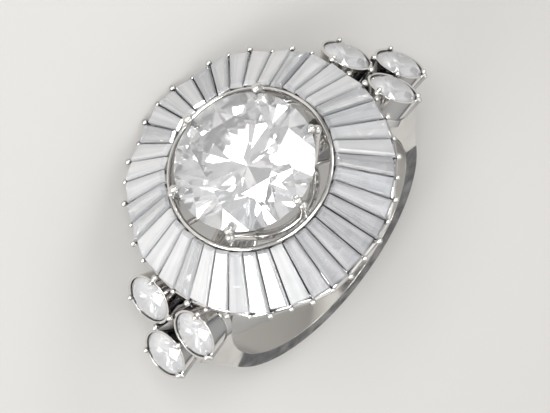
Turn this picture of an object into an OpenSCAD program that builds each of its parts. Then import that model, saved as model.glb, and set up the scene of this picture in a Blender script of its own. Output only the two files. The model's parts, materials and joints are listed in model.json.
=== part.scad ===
// Ballerina ring: a round brilliant in claws above a pleated skirt of tapered baguettes,
// with a trefoil of three small brilliants on each shoulder.
// Lengths are millimetres. The ring is drawn upright, with the finger along Y and the head up Z,
// and is then laid on its side the way it rests by itself.

/* [Finger hole] */
// Diameter of the finger hole
finger_d = 17.3; // [15:0.1:20]

/* [Shank] */
// Width of the band along the finger
shank_w = 2.3; // [1.8:0.1:3.5]
// Thickness of the band at the middle of its dome
shank_t = 1.55; // [1.2:0.05:2.2]
// Height of the dome on the band's outer face
shank_dome = 0.45; // [0.2:0.05:0.7]

/* [Centre stone] */
// Diameter of the centre stone at its girdle
centre_d = 9.1; // [8:0.1:9.6]
// Height of the centre stone's girdle above the top of the finger hole
centre_rise = 5.85; // [5.6:0.05:7]
// Number of claws that hold the centre stone
claw_count = 6; // [4:1:8]
// Thickness of a claw
claw_d = 0.6; // [0.5:0.05:0.8]

/* [Skirt] */
// Number of tapered baguettes
baguette_count = 40; // [32:4:44]
// Radius of the rail that the baguettes start from
rail_r = 5.26; // [5.1:0.02:5.6]
// Wall of that rail
rail_wall = 0.28; // [0.2:0.02:0.4]
// Height of the rail's top below the centre stone's girdle
rail_drop = 1.05; // [0.9:0.05:1.4]
// Length of a baguette
baguette_len = 3.95; // [3.4:0.05:4.4]
// Slope of the skirt below the horizontal
skirt_slope = 37.5; // [32:0.5:42]
// Height of the skirt's pleats at its rim, from the middle to the top
pleat_h = 0.3; // [0.1:0.02:0.4]
// Depth of a baguette from its table to its keel
baguette_depth = 0.85; // [0.6:0.05:1]
// Thickness of the wire along the skirt's rim
rim_wire_d = 0.48; // [0.4:0.02:0.6]
// Diameter of the beads that grip the baguettes' outer ends
bead_d = 0.42; // [0.36:0.02:0.44]

/* [Gallery] */
// Radius of the gallery ring under the skirt
gallery_r = 6.2; // [5.6:0.1:7]
// Thickness of the gallery ring
gallery_d = 0.8; // [0.6:0.05:0.9]
// Height of the gallery ring's middle above the top of the finger hole
gallery_rise = 0.6; // [0.5:0.05:0.9]
// Thickness of the wires between the gallery ring and the rim
strut_d = 0.4; // [0.3:0.02:0.5]
// Radius of the ring at the foot of the claws
foot_r = 3.3; // [2.8:0.1:3.8]
// Thickness of the ring at the foot of the claws
foot_d = 0.7; // [0.6:0.05:0.8]

/* [Shoulders] */
// Diameter of each shoulder stone
shoulder_stone_d = 3.1; // [2.6:0.05:3.2]
// Distance from a trefoil's middle to the middle of each of its stones
trefoil_r = 2.3; // [2.2:0.05:2.5]
// Distance from the middle of the finger hole to a trefoil at its stones' girdles
trefoil_reach = 12.95; // [12.9:0.05:13.6]
// Angle between the head's axis and a trefoil's
trefoil_angle = 55; // [54:0.5:62]
// Height of the collets around the shoulder stones
collet_h = 1.5; // [1.45:0.05:1.8]
// Wall of a collet at its rim
collet_wall = 0.16; // [0.12:0.01:0.2]
// Width of a shoulder along the finger, under its trefoil
shoulder_w = 3.1; // [2.4:0.1:4]

/* [Fit] */
// Gap between a stone and the metal that holds it
stone_gap = 0.05; // [0.03:0.01:0.08]
// Gap between neighbouring baguettes
baguette_gap = 0.06; // [0.05:0.01:0.12]

/* [Hidden] */
$fn = 96;

// How far solids run into each other where they are soldered
bite = 0.05;
// Metal left inside the finger hole until it is drilled
hole_stock = 0.3;
// Sides of a thin drawn wire
wire_sides = 8;
finger_r = finger_d / 2;
shank_r = finger_r + shank_t;
centre_z = finger_r + centre_rise;

// Round brilliant cut, as shares of the stone's diameter
table_share = 0.57;
star_share = 0.76;
crown_share = 0.145;
girdle_share = 0.02;
pavilion_share = 0.43;
keel_share = 0.22;
girdle_steps = 4;
// Slopes of the small facets that meet the girdle from above and from below
half_slope = atan2((crown_share - girdle_share / 2) * (1 - star_share * cos(22.5)) / (1 - table_share),
    cos(11.25) * (1 - star_share) / 2);
low_slope = atan2(pavilion_share * (1 - keel_share * cos(22.5)), cos(11.25) * (1 - keel_share) / 2);

// Skirt: a cone from the rail down to the rim, with a fold at every second baguette
rail_top = centre_z - rail_drop;
rail_bead_r = rail_wall / 2 + 0.02;
rail_h = 0.75;
pitch = 360 / baguette_count;
// A flat end lies closest to the rail at its middle, and the girdle's lower edge leans in by 0.04
skirt_in = [(rail_r + rail_bead_r + stone_gap) / cos(pitch / 2) + 0.04, rail_top - 0.08];
skirt_dir = [cos(skirt_slope), -sin(skirt_slope)];
skirt_up = [sin(skirt_slope), cos(skirt_slope)];
skirt_out = skirt_in + baguette_len * skirt_dir;

// Step cut of a baguette: crown and pavilion, then the steps as shares of them
crown_h = 0.3 * baguette_depth;
pavilion_h = baguette_depth - crown_h;
steps = [
    // inset at the sides, inset at the ends, height above the girdle
    [0.13, 0.17, crown_h],
    [0.05, 0.08, 0.65 * crown_h],
    [0, 0, 0.12 * crown_h],
    [0, 0, -0.08 * pavilion_h],
    [0.14, 0.22, -0.5 * pavilion_h],
    [0.32, 0.46, -pavilion_h]
];

// Rim wire, bars and beads, measured from a baguette's outer end along the skirt and square to it
rim_wire_at = [0.16, -0.42];
bar_d = 0.26;
bar_low = -0.42;
bar_start = (rail_r - skirt_in[0] - bar_low * skirt_up[0]) / skirt_dir[0];
bead_at = [0.22, 0.2];
post_d = 0.22;

// Gallery and claws
gallery_z = finger_r + gallery_rise;
foot_z = shank_r - foot_d / 2 + bite;
claw_neck = 0.75;

// Trefoils
collet_r = shoulder_stone_d / 2 + stone_gap + collet_wall;
collet_foot = 0.75;
claw_spread = 62;
post_rise = 0.25;
trefoil_claw_d = 0.36;
plate_t = 0.5;

// Rest: the ring lies on two beads of the rim and on the edge of the band opposite the head
bead_rz = skirt_out + bead_at[0] * skirt_dir + bead_at[1] * skirt_up;
rest_out = bead_rz[0] * cos(pitch) - shank_w / 2;
rest_high = bead_rz[1] + shank_r - shank_dome;
rest_tilt = atan2(rest_out, rest_high) + asin(bead_d / 2 / norm([rest_out, rest_high]));

// Elbow and tip of a claw of thickness d, as radius and height from the middle of a stone's girdle:
// the elbow passes the girdle, and the tip lies on the crown
function claw_elbow(stone_d, d) = [(stone_d + d) / 2 + stone_gap, 0];
function claw_tip(stone_d, d) = [stone_d, girdle_share * stone_d] / 2
    + 0.25 * d * [-cos(half_slope), sin(half_slope)]
    + (stone_gap + d / 2) * [sin(half_slope), cos(half_slope)];

function unit(v) = v / norm(v);
function turned(rz, a) = [rz[0] * sin(a), rz[0] * cos(a), rz[1]];

// Height of the pleats at an angle around the head: up, level, down, level
function pleat(a) = pleat_h * cos(a / pitch * 90);

// Point of the skirt at angle a, t mm past its inner edge and h mm above its surface
function on_skirt(a, t, h = 0) =
    turned(skirt_in + t * skirt_dir + h * skirt_up, a) + [0, 0, pleat(a) * t / baguette_len];

module place() {
    rotate([90 - rest_tilt, 0, 0]) children();
}

// Bar with flat ends between two points: round, or drawn with a few sides as a thin wire is
module bar(p, q, d, sides = 0) {
    v = q - p;
    translate(p)
        rotate([0, acos(v[2] / norm(v)), atan2(v[1], v[0])])
            rotate([0, 0, sides ? 180 / sides : 0])
                cylinder(h = norm(v), d = d, $fn = sides ? sides : $fn);
}

// Thin wire that runs a little past both its ends, into what it is soldered to
module wire(p, q, d) {
    v = unit(q - p);
    bar(p - bite * v, q + bite * v, d, wire_sides);
}

// Ring of wire around the head's axis
module wire_ring(r, z, d) {
    translate([0, 0, z])
        rotate_extrude() translate([r, 0]) rotate(180 / wire_sides) circle(d = d, $fn = wire_sides);
}

module ball(p, d) {
    translate(p) sphere(d = d);
}

// Claw from its foot past the girdle's edge to a rounded tip on the crown
module claw(foot, elbow, tip, d) {
    bar(foot, elbow, d);
    ball(elbow, d + bite / 2);
    bar(elbow, tip, claw_neck * d);
    ball(tip, d);
}

// Round brilliant with its girdle at z = 0: table, stars, kites, halves and mains
module brilliant(d) {
    r = d / 2;
    crown = crown_share * d;
    edge = girdle_share * d / 2;
    depth = pavilion_share * d;
    star_z = edge + (crown - edge) * (1 - star_share * cos(22.5)) / (1 - table_share);
    keel_z = -edge - depth * (1 - keel_share * cos(22.5));
    n = girdle_steps;
    m = 16 * n;
    // How far the round girdle bulges past the flat foot of a small facet
    bulge = [for (k = [0:m - 1]) r * (cos(22.5 * (k % n) / n - 11.25) - cos(11.25))];
    // Table, star corners, girdle above and below, keel corners, culet
    points = concat(
        [for (i = [0:7]) turned([r * table_share, crown], 45 * i)],
        [for (i = [0:7]) turned([r * star_share, star_z], 45 * i + 22.5)],
        [for (k = [0:m - 1]) turned([r, edge - bulge[k] * tan(half_slope)], 22.5 * k / n)],
        [for (k = [0:m - 1]) turned([r, bulge[k] * tan(low_slope) - edge], 22.5 * k / n)],
        [for (i = [0:7]) turned([r * keel_share, keel_z], 45 * i + 22.5)],
        [[0, 0, -edge - depth]]
    );
    upper = 16;
    lower = upper + m;
    keel = lower + m;
    table = [for (i = [0:7]) i];
    stars = [for (i = [0:7]) [i, 8 + i, (i + 1) % 8]];
    kites = [for (i = [0:7]) [i, 8 + (i + 7) % 8, upper + 2 * n * i, 8 + i]];
    halves = [for (j = [0:15])
        concat([8 + floor(j / 2)], [for (k = [0:n]) upper + (j * n + k) % m])];
    girdle = [for (k = [0:m - 1]) [upper + k, lower + k, lower + (k + 1) % m, upper + (k + 1) % m]];
    low_halves = [for (j = [0:15])
        concat([keel + floor(j / 2)], [for (k = [n:-1:0]) lower + (j * n + k) % m])];
    mains = [for (i = [0:7]) [lower + 2 * n * i, keel + (i + 7) % 8, keel + 8, keel + i]];
    polyhedron(points, concat([table], stars, kites, halves, girdle, low_halves, mains));
}

// Tapered baguette between the skirt's pleats at angles a and a + pitch
module baguette(i) {
    a = (i - 1) * pitch;
    inner = (on_skirt(a, 0) + on_skirt(a + pitch, 0)) / 2;
    outer = (on_skirt(a, baguette_len) + on_skirt(a + pitch, baguette_len)) / 2;
    across = on_skirt(a + pitch, baguette_len) - on_skirt(a, baguette_len);
    along = unit(outer - inner);
    up = unit(cross(across, along));
    side = cross(up, along);
    length = norm(outer - inner);
    half_in = norm(inner - [0, 0, inner[2]]) * tan(pitch / 2) - baguette_gap / 2;
    half_out = norm(outer - [0, 0, outer[2]]) * tan(pitch / 2) - baguette_gap / 2;
    points = [for (s = steps) for (c = [[0, -1], [0, 1], [1, 1], [1, -1]])
        let (
            u = c[0] == 0 ? s[1] : length - s[1],
            v = c[1] * (half_in + (half_out - half_in) * u / length - s[0])
        )
        inner + u * along + v * side + s[2] * up
    ];
    last = 4 * (len(steps) - 1);
    faces = concat(
        [[0, 1, 2, 3]],
        [for (k = [0:len(steps) - 2]) for (j = [0:3])
            [4 * k + j, 4 * k + 4 + j, 4 * k + 4 + (j + 1) % 4, 4 * k + (j + 1) % 4]],
        [[last + 3, last + 2, last + 1, last]]
    );
    color("white") place() polyhedron(points, faces);
}

module centre_stone() {
    color("white") place() translate([0, 0, centre_z]) brilliant(centre_d);
}

// Middles of a trefoil's three stones, in the trefoil's own plane
function trefoil_spot(i) = turned([trefoil_r, 0], 90 - 120 * i);

// Puts a trefoil's pieces on the shoulder at the side where x is positive
module at_trefoil() {
    rotate([0, trefoil_angle, 0]) translate([0, 0, trefoil_reach]) children();
}

module both_sides() {
    children();
    rotate([0, 0, 180]) children();
}

module shoulder_stone(i) {
    color("white") place()
        rotate([0, 0, i > 3 ? 180 : 0])
            at_trefoil() translate(trefoil_spot(i)) brilliant(shoulder_stone_d);
}

// Band with a domed outer face, left solid towards the finger until the hole is drilled
module shank() {
    dome_r = (pow(shank_w / 2, 2) + pow(shank_dome, 2)) / 2 / shank_dome;
    rotate([90, 0, 0])
        rotate_extrude()
            intersection() {
                translate([finger_r - hole_stock, -shank_w / 2]) square([2 * shank_t, shank_w]);
                translate([shank_r - dome_r, 0]) circle(r = dome_r);
            }
}

// Point of the ring's side view at a distance from the finger's axis and an angle from the head
function side_view(r, a) = [r * sin(a), r * cos(a)];

// Arch that rises from the band to the trefoil and runs on to the gallery
module shoulder() {
    start = side_view(shank_r - shank_dome, 104);
    core = finger_r - hole_stock;
    // The arch starts inside the band, a little narrower than it
    root_w = shank_w - 4 * bite;
    seat = trefoil_reach - collet_h - plate_t / 2;
    // Side view of the seat under the trefoil, x mm from its middle towards the band
    seat_dir = [cos(trefoil_angle), -sin(trefoil_angle)];
    seat_low = side_view(seat, trefoil_angle) + (trefoil_r + collet_r / 2) * seat_dir;
    seat_high = side_view(seat, trefoil_angle) - 0.9 * trefoil_r * seat_dir;
    intersection() {
        rotate([90, 0, 0])
            linear_extrude(height = 2 * shoulder_w, center = true)
                polygon([
                    start,
                    seat_low,
                    seat_high,
                    [gallery_r - bite, gallery_z + gallery_d / 2 - bite],
                    [gallery_r - gallery_d, gallery_z - gallery_d / 4],
                    side_view(core, 38),
                    side_view(core, 60),
                    side_view(core, 82),
                    side_view(core, 104)
                ]);
        rotate([90, 0, 90])
            linear_extrude(height = 2 * trefoil_reach)
                polygon([
                    [-root_w / 2, start[1] - 2 * bite],
                    [root_w / 2, start[1] - 2 * bite],
                    [shoulder_w / 2, seat_low[1]],
                    [shoulder_w / 2, centre_z],
                    [-shoulder_w / 2, centre_z],
                    [-shoulder_w / 2, seat_low[1]]
                ]);
    }
}

// Open collet around one shoulder stone, with a conical seat
module collet() {
    seat_r = collet_r - collet_wall;
    rotate_extrude()
        polygon([
            [collet_foot * collet_r, -collet_h],
            [collet_r, 0.12],
            [seat_r, 0.12],
            [seat_r, -0.12],
            [0.35 * collet_r, -collet_h]
        ]);
}

// Three collets on one plate, with a post between each two stones and two claws outside each stone
module trefoil() {
    difference() {
        union() {
            translate([0, 0, bite - collet_h - plate_t])
                linear_extrude(height = plate_t)
                    union() {
                        polygon([for (i = [0:2]) 1.1 * [trefoil_spot(i)[0], trefoil_spot(i)[1]]]);
                        for (i = [0:2])
                            translate(trefoil_spot(i)) circle(r = (collet_foot + 0.05) * collet_r);
                    }
            for (i = [0:2]) {
                translate(trefoil_spot(i)) collet();
                between = (trefoil_spot(i) + trefoil_spot(i + 1)) / 2;
                bar(between - [0, 0, collet_h], between + [0, 0, post_rise], trefoil_claw_d);
                ball(between + [0, 0, post_rise], trefoil_claw_d + 2 * bite);
                for (a = [90 - 120 * i - claw_spread, 90 - 120 * i + claw_spread])
                    translate(trefoil_spot(i))
                        claw(
                            turned([collet_foot * collet_r, -collet_h], a),
                            turned(claw_elbow(shoulder_stone_d, trefoil_claw_d), a),
                            turned(claw_tip(shoulder_stone_d, trefoil_claw_d), a),
                            trefoil_claw_d
                        );
            }
        }
        cylinder(h = 4 * collet_h, r = 0.4, center = true);
    }
}

// Claws around the centre stone, with the two rings that tie them
module basket() {
    wire_ring(foot_r, foot_z, foot_d);
    for (i = [0:claw_count - 1]) {
        a = i * 360 / claw_count;
        foot = turned([foot_r, foot_z], a);
        girdle = [0, centre_z];
        claw(
            foot,
            turned(girdle + claw_elbow(centre_d, claw_d), a),
            turned(girdle + claw_tip(centre_d, claw_d), a),
            claw_d
        );
        wire(foot, turned([gallery_r, gallery_z], a), strut_d);
    }
}

// Rail between the centre stone and the baguettes: a thin wall with a round top
module rail() {
    rotate_extrude()
        union() {
            translate([rail_r - rail_wall / 2, rail_top - rail_h]) square([rail_wall, rail_h - rail_bead_r]);
            translate([rail_r, rail_top - rail_bead_r]) circle(r = rail_bead_r);
        }
}

// Metal under the baguettes: rim wire, radial bars, beads and the wires down to the gallery
module skirt_frame() {
    rim = [for (i = [0:baguette_count - 1])
        on_skirt(i * pitch, baguette_len + rim_wire_at[0], rim_wire_at[1])];
    for (i = [0:baguette_count - 1]) {
        a = i * pitch;
        wire(rim[i], rim[(i + 1) % baguette_count], rim_wire_d);
        wire(on_skirt(a, bar_start, bar_low), rim[i], bar_d);
        if (i % 2 == 1) {
            bead = on_skirt(a, baguette_len + bead_at[0], bead_at[1]);
            wire(rim[i], bead, post_d);
            ball(bead, bead_d);
            wire(rim[i], turned([gallery_r, gallery_z], a), strut_d);
        }
    }
}

// All the metal of the ring, soldered into one piece
module ring_mount() {
    color("gainsboro") place()
        difference() {
            union() {
                shank();
                both_sides() shoulder();
                both_sides() at_trefoil() trefoil();
                basket();
                rail();
                skirt_frame();
                wire_ring(gallery_r, gallery_z, gallery_d);
            }
            rotate([90, 0, 0]) cylinder(h = 4 * finger_r, r = finger_r, center = true);
        }
}

ring_mount();
centre_stone();
for (i = [1:6]) shoulder_stone(i);
for (i = [1:baguette_count]) baguette(i);
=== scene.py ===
# Ballerina ring in white metal, lying on its side on a pale table.
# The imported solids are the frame: one soldered mount and forty-seven cut stones, in metres.
import bpy
import json
import math
from mathutils import Matrix, Vector


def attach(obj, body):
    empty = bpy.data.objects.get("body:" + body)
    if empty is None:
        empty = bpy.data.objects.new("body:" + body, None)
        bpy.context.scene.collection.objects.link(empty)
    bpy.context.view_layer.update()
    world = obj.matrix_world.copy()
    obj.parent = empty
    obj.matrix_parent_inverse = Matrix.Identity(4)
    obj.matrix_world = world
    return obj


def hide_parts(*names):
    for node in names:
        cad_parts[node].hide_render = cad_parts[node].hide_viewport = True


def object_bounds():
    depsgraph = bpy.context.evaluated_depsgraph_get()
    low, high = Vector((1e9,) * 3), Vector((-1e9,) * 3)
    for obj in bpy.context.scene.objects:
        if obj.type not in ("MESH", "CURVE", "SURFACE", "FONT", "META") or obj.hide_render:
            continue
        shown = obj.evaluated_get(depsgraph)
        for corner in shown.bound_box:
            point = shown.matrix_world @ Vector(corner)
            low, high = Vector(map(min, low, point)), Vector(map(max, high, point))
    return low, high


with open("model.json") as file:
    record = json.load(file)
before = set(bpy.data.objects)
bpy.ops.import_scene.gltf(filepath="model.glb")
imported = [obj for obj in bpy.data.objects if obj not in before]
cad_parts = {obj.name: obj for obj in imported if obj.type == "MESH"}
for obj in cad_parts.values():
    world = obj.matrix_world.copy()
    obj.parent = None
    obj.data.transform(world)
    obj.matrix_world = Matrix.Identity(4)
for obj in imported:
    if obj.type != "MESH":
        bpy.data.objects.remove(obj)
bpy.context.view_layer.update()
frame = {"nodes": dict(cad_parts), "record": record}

# The mount.
# One soldered piece of platinum: band, shoulders, collets, claws, rail, rim and gallery wires.
# It is cast, soldered and polished, so every edge and joint is slightly rounded.
merge_distance = 1e-7
# The flats of a round wire meet at less than this angle, and true edges mostly at more
edge_angle = math.radians(50)
cad_mount = frame["nodes"]["ring_mount"]
bpy.ops.object.select_all(action="DESELECT")
mount = cad_mount.copy()
mount.data = cad_mount.data.copy()
mount.name = mount.data.name = "polished_mount"
mount.parent = None
# The frame's own marks stay on the CAD node alone
for key in [k for k in mount.keys() if k.startswith("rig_")]:
    del mount[key]
bpy.context.scene.collection.objects.link(mount)
bpy.context.view_layer.objects.active = mount
mount.select_set(True)
bpy.ops.object.mode_set(mode="EDIT")
bpy.ops.mesh.select_all(action="SELECT")
bpy.ops.mesh.remove_doubles(threshold=merge_distance)
bpy.ops.mesh.customdata_custom_splitnormals_clear()
bpy.ops.object.mode_set(mode="OBJECT")
bpy.ops.object.shade_smooth_by_angle(angle=edge_angle)


def linear_colour(code):
    """Linear colour of an sRGB hex value."""
    parts = [int(code[i:i + 2], 16) / 255 for i in (1, 3, 5)]
    return [p / 12.92 if p <= 0.04045 else ((p + 0.055) / 1.055) ** 2.4 for p in parts] + [1.0]


def add_node(tree, kind, links=None, **settings):
    """Adds a node; links maps an input to a value or to another node's output."""
    made = tree.nodes.new(kind)
    for name, value in settings.items():
        setattr(made, name, value)
    for name, source in (links or {}).items():
        if isinstance(source, bpy.types.NodeSocket):
            tree.links.new(source, made.inputs[name])
        else:
            made.inputs[name].default_value = source
    return made


def new_material(name):
    """An empty material and its node tree."""
    made = bpy.data.materials.new(name)
    made.use_nodes = True
    made.node_tree.nodes.clear()
    return made, made.node_tree


# Polished platinum: a greyish white metal with a near mirror polish. Wear leaves patches that mirror less
# sharply, edges catch a thin bright line, and recesses are greyed as painted shade.
platinum_white = "#E4E2DE"
# Painted shade: the grey that shut-in places are darkened towards
painted_shade_grey = "#6C6A6F"
# Other metal nearer than this shuts a place in and gives it painted shade
shade_reach = 0.0025
# Full painted shade where no more than the first share of the way out is open, none from the second share on
openness_in_full_shade = 0.15
openness_without_shade = 0.6
patches_per_mm = 0.9
polished_roughness = 0.07
worn_roughness = 0.16
edge_radius = 0.00006
# The mop's real marks are finer than a hundredth of a millimetre. They are drawn about ten times as
# coarse, so that they break up the mirror at all.
marks_per_mm = 9
mark_depth = 0.00002
platinum, tree = new_material("polished platinum")
place = add_node(tree, "ShaderNodeTexCoord").outputs["Object"]
patches = add_node(tree, "ShaderNodeTexNoise", {"Vector": place, "Scale": 1000 * patches_per_mm,
                   "Detail": 3.0})
worn = add_node(tree, "ShaderNodeMapRange", {"Value": patches.outputs["Fac"], "From Min": 0.35,
                "From Max": 0.65, "To Min": polished_roughness, "To Max": worn_roughness})
marks = add_node(tree, "ShaderNodeTexNoise", {"Vector": place, "Scale": 1000 * marks_per_mm,
                 "Detail": 2.0})
edges = add_node(tree, "ShaderNodeBevel", {"Radius": edge_radius}, samples=6)
polish = add_node(tree, "ShaderNodeBump", {"Height": marks.outputs["Fac"], "Strength": 0.04,
                  "Distance": mark_depth, "Normal": edges.outputs["Normal"]})
openness = add_node(tree, "ShaderNodeAmbientOcclusion", {"Distance": shade_reach}, samples=6)
unshaded = add_node(tree, "ShaderNodeMapRange", {"Value": openness.outputs["AO"],
                   "From Min": openness_in_full_shade, "From Max": openness_without_shade})
# The colour runs from the painted shade grey in recesses to the metal's own white
tone = add_node(tree, "ShaderNodeMix", {"Factor": unshaded.outputs["Result"]}, data_type="RGBA")
tone.inputs["A"].default_value = linear_colour(painted_shade_grey)
tone.inputs["B"].default_value = linear_colour(platinum_white)
metal = add_node(tree, "ShaderNodeBsdfPrincipled", {"Base Color": tone.outputs["Result"], "Metallic": 1.0,
                 "Roughness": worn.outputs["Result"], "Normal": polish.outputs["Normal"]})
add_node(tree, "ShaderNodeOutputMaterial", {"Surface": metal.outputs["BSDF"]})
mount.data.materials.clear()
mount.data.materials.append(platinum)
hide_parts("ring_mount")
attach(mount, "root")

# The brilliants.
# One large round brilliant in six claws, and three small ones in each trefoil, all colourless diamond.
# Their facets are ground flat and polished, so the CAD solids keep their sharp edges.
hole_axis = Vector(frame["record"]["mounts"][0]["axis"])
across = Vector((1, 0, 0))
# The head's axis, from the middle of the finger hole out through the middle of the centre stone
outwards = hole_axis.cross(across) * -1
# A baguette covers a fortieth of a turn, so this lays two or three clouds side by side in it, each about
# 0.4 mm wide
clouds_per_radian = 18
haze_roughness = 0.06


def diamond(name, tint, shade, clearness, streak):
    """Cut and polished diamond. Its very high refractive index makes facets flash, and clearness is the share
    of light that passes through. The rest scatters white, as many small sparkles do to the eye. Between tint
    and shade, faint clouds run outwards from the head's axis and haze the polish a little. A cloud reaches
    over streak metres of distance from the middle of the finger hole."""
    made, tree = new_material(name)
    place = add_node(tree, "ShaderNodeTexCoord").outputs["Object"]
    upright = add_node(tree, "ShaderNodeMapping", {"Vector": place})
    upright.inputs["Rotation"].default_value = outwards.rotation_difference(Vector((0, 0, 1))).to_euler()
    flat = add_node(tree, "ShaderNodeSeparateXYZ", {"Vector": upright.outputs["Vector"]})
    angle = add_node(tree, "ShaderNodeMath", operation="ARCTAN2")
    tree.links.new(flat.outputs["X"], angle.inputs[0])
    tree.links.new(flat.outputs["Y"], angle.inputs[1])
    reach = add_node(tree, "ShaderNodeVectorMath", {"Vector": upright.outputs["Vector"]}, operation="LENGTH")
    spot = add_node(tree, "ShaderNodeCombineXYZ", {"X": angle.outputs["Value"], "Y": reach.outputs["Value"]})
    spread = add_node(tree, "ShaderNodeMapping", {"Vector": spot.outputs["Vector"],
                      "Scale": (clouds_per_radian, 1 / streak, 1)})
    clouds = add_node(tree, "ShaderNodeTexNoise", {"Vector": spread.outputs["Vector"], "Scale": 1.0,
                      "Detail": 3.0})
    colour = add_node(tree, "ShaderNodeValToRGB", {"Fac": clouds.outputs["Fac"]})
    for element, position, code in zip(colour.color_ramp.elements, (0.38, 0.58), (shade, tint)):
        element.position = position
        element.color = linear_colour(code)
    haze = add_node(tree, "ShaderNodeMapRange", {"Value": clouds.outputs["Fac"], "From Min": 0.4,
                    "From Max": 0.6, "To Min": haze_roughness, "To Max": 0.0})
    stone = add_node(tree, "ShaderNodeBsdfPrincipled", {"Base Color": colour.outputs["Color"], "IOR": 2.42,
                     "Roughness": haze.outputs["Result"], "Transmission Weight": clearness})
    add_node(tree, "ShaderNodeOutputMaterial", {"Surface": stone.outputs["BSDF"]})
    return made


def set_finish(node, finish):
    """Gives a stone of the frame its finish."""
    slots = frame["nodes"][node].data.materials
    slots.clear()
    slots.append(finish)


# The centre stone is nearly clear. The small ones sparkle more closely, so they look whiter.
large = diamond("large brilliant cut diamond", "#FFFFFF", "#F2F3F5", clearness=0.9, streak=0.002)
small = diamond("small brilliant cut diamond", "#FFFFFF", "#F4F5F6", clearness=0.7, streak=0.001)
set_finish("centre_stone", large)
for i in range(1, 7):
    set_finish("shoulder_stone_%d" % i, small)

# The baguettes.
# Forty tapered step cut diamonds fan out around the centre in shallow pleats, on the bars between the rail
# and the rim. They are matched in colour only roughly, so some look white and others faintly grey. A greyer
# eight are put together on one side as painted shade.
baguette_count = 40
# A step cut has few long facets and looks milkier than a brilliant, so more of its light is scattered
tones = [diamond("step cut diamond, white", "#FFFFFF", "#F0F1F3", clearness=0.6, streak=0.003),
         diamond("step cut diamond, near white", "#FDFDFE", "#E6E8EA", clearness=0.64, streak=0.003),
         diamond("step cut diamond, faint grey", "#F7F8F9", "#DADCE0", clearness=0.68, streak=0.003)]
# Painted shade: a greyer tone for the stones on the side that is to look shaded
shaded_side_grey = diamond("step cut diamond, light grey", "#E4E4E6", "#C2C3C6", clearness=0.66, streak=0.003)
# The greyer eight lie near each other, at the top as the ring lies, as painted shade on that side
shaded_side_stones = (36, 38, 39, 40, 1, 2, 3, 5)
# The tones come in turn, but every third stone repeats the one before it, so the order isn't too even
for i in range(1, baguette_count + 1):
    set_finish("baguette_%d" % i, shaded_side_grey if i in shaded_side_stones else tones[(i * 7 // 3) % 3])

# The fold claws.
# The mount has a bead at every second joint of the rim. On the folds between them a smaller claw of the
# same metal, with its tip filed to a round grain, holds the corners of the two baguettes that meet there.
claw_sides = 12
foot_radius = 0.00014
foot_height = 0.0001
# How far each step of a claw rises above the one before, and how much wider or narrower it ends: a
# tapering shaft, a thin neck and a domed tip
claw_steps = ((0.00014, 0.75), (0.00008, 1.0), (0.00006, 1.6), (0.00008, 1.12), (0.00008, 0.88),
              (0.00006, 0.5))
claw_edge_angle = math.radians(60)
bpy.ops.object.select_all(action="DESELECT")
bpy.ops.mesh.primitive_cylinder_add(vertices=claw_sides, radius=foot_radius, depth=foot_height,
                                    location=(0, 0, foot_height / 2))
bpy.ops.object.transform_apply(location=True, rotation=True, scale=True)
claw = bpy.context.object
bpy.ops.object.mode_set(mode="EDIT")
bpy.ops.mesh.select_all(action="DESELECT")
bpy.ops.object.mode_set(mode="OBJECT")
# The foot's top face is drawn out, step by step
for face in claw.data.polygons:
    face.select = face.normal.z > 0.9
bpy.ops.object.mode_set(mode="EDIT")
for rise, width in claw_steps:
    bpy.ops.mesh.extrude_region_move(TRANSFORM_OT_translate={"value": (0, 0, rise)})
    bpy.ops.transform.resize(value=(width, width, 1))
bpy.ops.object.mode_set(mode="OBJECT")
rounding = claw.modifiers.new("rounding", "SUBSURF")
rounding.levels = rounding.render_levels = 1
bpy.ops.object.modifier_apply(modifier="rounding")

# Corners within this distance of a baguette's furthest or nearest point belong to that end
end_length = 0.0003


def meeting_point(one, other, outer):
    """Middle of the closest corners of two neighbouring baguettes, at their outer or inner ends."""
    ends = []
    for stone in (one, other):
        corners = [stone.matrix_world @ v.co for v in stone.data.vertices]
        reach = [(c - c.dot(outwards) * outwards).length for c in corners]
        limit = max(reach) - end_length if outer else min(reach) + end_length
        ends.append([c for c, r in zip(corners, reach) if (r > limit if outer else r < limit)])
    first, second = min(((a, b) for a in ends[0] for b in ends[1]), key=lambda c: (c[0] - c[1]).length)
    return (first + second) / 2


# Where a claw's foot stands, from the corners that it holds: further out along the joint, and below them
foot_out = 0.00019
foot_below = 0.00038
claws = []
for i in range(2, baguette_count + 1, 2):
    pair = [frame["nodes"]["baguette_%d" % k] for k in (i, i % baguette_count + 1)]
    corner = meeting_point(*pair, outer=True)
    along = (corner - meeting_point(*pair, outer=False)).normalized()
    sideways = outwards.cross(along).normalized()
    upwards = along.cross(sideways)
    foot = corner + foot_out * along - foot_below * upwards
    turn = Matrix((along, sideways, upwards)).transposed().to_4x4()
    one_claw = claw.copy()
    one_claw.data = claw.data.copy()
    one_claw.data.transform(Matrix.Translation(foot) @ turn)
    bpy.context.scene.collection.objects.link(one_claw)
    claws.append(one_claw)
bpy.data.objects.remove(claw)
bpy.ops.object.select_all(action="DESELECT")
for one_claw in claws:
    one_claw.select_set(True)
bpy.context.view_layer.objects.active = claws[0]
bpy.ops.object.join()
fold_claws = bpy.context.object
fold_claws.name = fold_claws.data.name = "fold_claws"
bpy.ops.object.shade_smooth_by_angle(angle=claw_edge_angle)
fold_claws.data.materials.append(platinum)
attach(fold_claws, "root")

# The table.
# A sheet of matt pale grey board under the ring, so broad that its edge shows only from very low down.
table_width = 8.0
table_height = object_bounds()[0][2]
bpy.ops.object.select_all(action="DESELECT")
bpy.ops.mesh.primitive_plane_add(size=table_width, location=(0, 0, table_height))
bpy.ops.object.transform_apply(location=True, rotation=True, scale=True)
table = bpy.context.object
table.name = "table"
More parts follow.
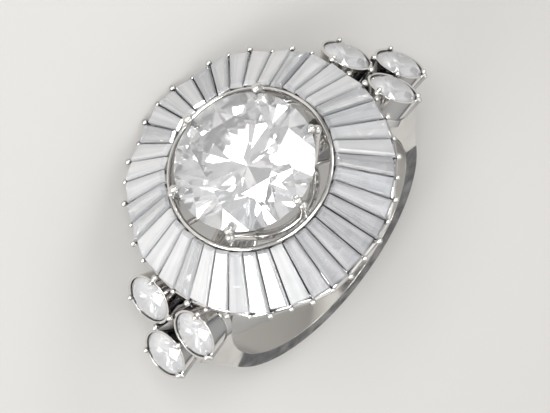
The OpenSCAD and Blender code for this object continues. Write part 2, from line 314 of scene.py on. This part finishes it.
# Uncoated board: pressed paper that mirrors almost nothing, so only the ring's soft shadow shows on it
board, tree = new_material("matt pale board")
paper = add_node(tree, "ShaderNodeBsdfPrincipled", {"Base Color": linear_colour("#C0BEBB"), "Roughness": 0.95,
                 "Specular IOR Level": 0.05})
add_node(tree, "ShaderNodeOutputMaterial", {"Surface": paper.outputs["BSDF"]})
table.data.materials.append(board)

# The light.
# One soft box in front of the head and above it, a low one at the right, weak ones at the left and
# overhead, and a pale room around them that darkens towards the horizon.


def soft_box(name, width, power, place):
    """A square light, aimed at the middle of the finger hole."""
    data = bpy.data.lights.new(name, "AREA")
    data.shape = "SQUARE"
    data.size = width
    data.energy = power
    made = bpy.data.objects.new(name, data)
    bpy.context.scene.collection.objects.link(made)
    made.location = place
    made.rotation_euler = (-Vector(place)).to_track_quat("-Z", "Y").to_euler()


soft_box("soft_box_above", width=0.5, power=0.35, place=(-0.06, 0.06, 0.50))
soft_box("soft_box_right", width=0.34, power=3.6, place=(0.56, -0.34, 0.18))
soft_box("soft_box_left", width=0.24, power=0.7, place=(-0.48, -0.30, 0.36))
soft_box("soft_box_front", width=0.26, power=4.7, place=(0.04, -0.57, 0.45))
room_strength = 0.75
# The room's grey at the horizon, then two with how far up their direction points, and straight overhead
level_grey = "#5D5E61"
greys_between = ((0.18, "#BEBFC2"), (0.45, "#D2D3D5"))
overhead_white = "#FFFFFF"
world = bpy.data.worlds.new("pale room")
bpy.context.scene.world = world
world.use_nodes = True
tree = world.node_tree
way = add_node(tree, "ShaderNodeTexCoord").outputs["Generated"]
height = add_node(tree, "ShaderNodeSeparateXYZ", {"Vector": way}).outputs["Z"]
walls = add_node(tree, "ShaderNodeValToRGB", {"Fac": height})
stops = walls.color_ramp.elements
stops[0].color = linear_colour(level_grey)
stops[1].color = linear_colour(overhead_white)
for position, code in greys_between:
    stops.new(position).color = linear_colour(code)
tree.links.new(walls.outputs["Color"], tree.nodes["Background"].inputs["Color"])
tree.nodes["Background"].inputs["Strength"].default_value = room_strength

# The camera.
# It looks at the head from the ring's upper side, 25 degrees off the head's axis, and is rolled so that
# the finger hole's axis runs down to the right, as in the picture.
lean = math.radians(24.7)
# The lean is turned this far from the hole's axis towards +X
swing = math.radians(12.0)
picture_turn = math.radians(49.9)
# Width of the view at the ring, in metres
view_width = 0.036
leaning = math.cos(swing) * hole_axis + math.sin(swing) * across
square = math.cos(swing) * across - math.sin(swing) * hole_axis
# From the ring to the camera, and the leaning direction as the camera sees it
towards = math.cos(lean) * outwards + math.sin(lean) * leaning
falling = math.cos(lean) * leaning - math.sin(lean) * outwards
right = math.cos(picture_turn) * falling - math.sin(picture_turn) * square
up = -math.sin(picture_turn) * falling - math.cos(picture_turn) * square
lens = bpy.data.cameras.new("camera")
lens.lens = 200
lens.sensor_width = 36
lens.clip_start = 0.01
lens.clip_end = 10
camera = bpy.data.objects.new("camera", lens)
bpy.context.scene.collection.objects.link(camera)
distance = view_width * lens.lens / lens.sensor_width
# The point in the middle of the picture, from the middle of the finger hole
middle = 0.0012 * outwards - 0.0017 * right + 0.0015 * up
turn = Matrix((right, up, towards)).transposed().to_4x4()
camera.matrix_world = Matrix.Translation(middle + distance * towards) @ turn
bpy.context.scene.camera = camera
bpy.context.scene.view_settings.view_transform = "Standard"
